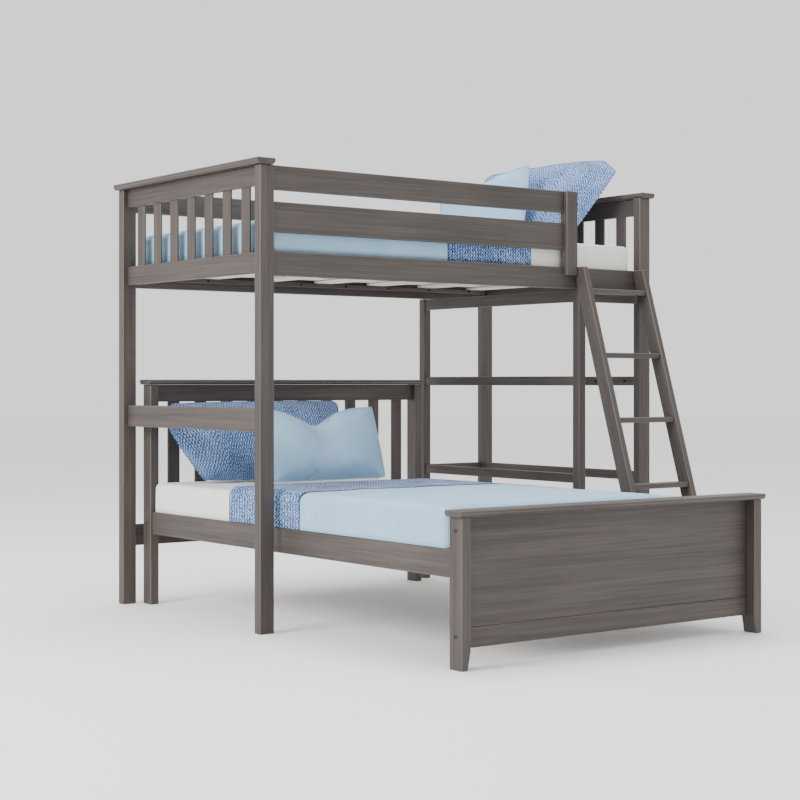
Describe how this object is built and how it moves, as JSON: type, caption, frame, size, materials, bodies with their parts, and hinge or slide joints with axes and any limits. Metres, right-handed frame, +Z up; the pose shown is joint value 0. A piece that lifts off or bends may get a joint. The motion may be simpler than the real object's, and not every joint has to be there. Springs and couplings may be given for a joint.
{
  "type": "bunk bed with ladder",
  "caption": "L-shaped bunk bed in grey-brown stained wood: narrow upper bunk with slatted ends, guard rails and leaning ladder over a wider bed set crossways, both made up with bedding.",
  "frame": {"origin": "middle of the whole bed's footprint, on the floor", "axes": "+X along the upper bunk towards its ladder end, +Y towards the back where the headboard stands, +Z up"},
  "size_m": [2.088, 2.147, 1.9349],
  "materials": {
    "stained_wood": "satin",
    "pale_wood": "raw",
    "mattress_cloth": "matte",
    "blue_cloth": "matte",
    "denim_cloth": "matte",
    "black_steel": "satin"
  },
  "bodies": {
    "root": {"back_stretcher": "stained_wood", "bed_slats_lower": "pale_wood", "bed_slats_upper": "pale_wood", "blanket_lower": "blue_cloth", "blanket_upper": "blue_cloth", "bunk_cap_left": "stained_wood", "bunk_cap_right": "stained_wood", "bunk_end_brace_left": "stained_wood", "bunk_end_panel_left": "stained_wood", "bunk_end_panel_right": "stained_wood", "bunk_post_back_left": "stained_wood", "bunk_post_back_right": "stained_wood", "bunk_post_front_left": "stained_wood", "bunk_post_front_right": "stained_wood", "bunk_side_rail_back": "stained_wood", "bunk_side_rail_front": "stained_wood", "centre_beam": "stained_wood", "footboard_cap": "stained_wood", "footboard_low_rail": "stained_wood", "footboard_panel": "stained_wood", "footboard_post_left": "stained_wood", "footboard_post_right": "stained_wood", "guard_rail_back": "stained_wood", "guard_rail_front_low": "stained_wood", "guard_rail_front_top": "stained_wood", "guard_stile": "stained_wood", "headboard_cap": "stained_wood", "headboard_panel": "stained_wood", "headboard_post_left": "stained_wood", "headboard_post_right": "stained_wood", "ladder_stringer_left": "stained_wood", "ladder_stringer_right": "stained_wood", "ladder_tread_1": "stained_wood", "ladder_tread_2": "stained_wood", "ladder_tread_3": "stained_wood", "ladder_tread_4": "stained_wood", "ladder_tread_5": "stained_wood", "lower_side_rail_left": "stained_wood", "lower_side_rail_right": "stained_wood", "mattress_lower": "mattress_cloth", "mattress_upper": "mattress_cloth", "pillow_blue_lower": "blue_cloth", "pillow_blue_upper": "blue_cloth", "pillow_denim_lower": "denim_cloth", "pillow_denim_upper": "denim_cloth", "throw_lower": "denim_cloth", "throw_upper": "denim_cloth", "under_post_back": "stained_wood", "under_post_front": "stained_wood", "under_rail_back_low": "stained_wood", "under_rail_back_mid": "stained_wood", "under_rail_front_top": "stained_wood", "under_rail_left_low": "stained_wood", "under_rail_left_mid": "stained_wood", "under_rail_left_top": "stained_wood", "under_rail_right_low": "stained_wood", "under_rail_right_mid": "stained_wood"}
  },
  "joints": []
}
